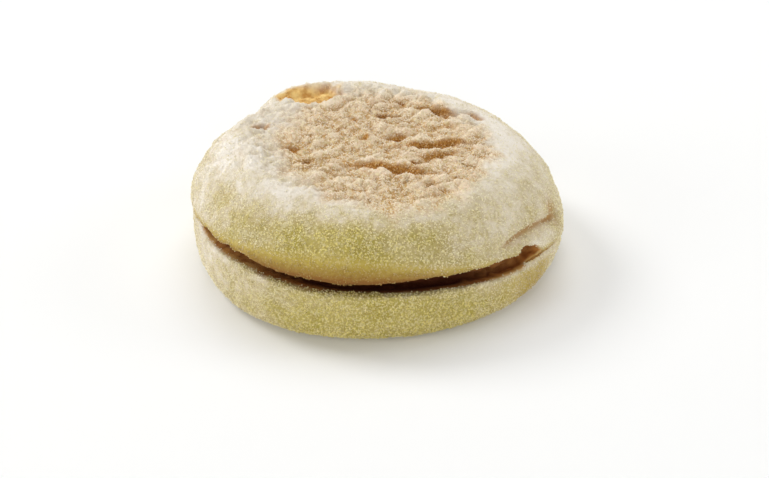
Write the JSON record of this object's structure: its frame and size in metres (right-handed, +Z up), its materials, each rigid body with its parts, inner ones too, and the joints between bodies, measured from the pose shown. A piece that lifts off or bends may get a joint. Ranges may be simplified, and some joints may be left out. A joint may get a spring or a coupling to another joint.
{
  "type": "english muffin",
  "caption": "Round, thick griddle-baked bread dusted with meal, with a browned flat top and a split opened part way through from the front.",
  "frame": {"origin": "middle of the flat base, under the middle of the muffin's box", "axes": "+Z up through the thickness; the split opens towards -Y"},
  "size_m": [0.0996, 0.0964, 0.0363],
  "materials": {
    "muffin_crust": "dry matt bread crust, cream with a toasted top, dusted all over with corn meal and semolina"
  },
  "bodies": {
    "root": {"english_muffin": "muffin_crust"}
  },
  "joints": []
}
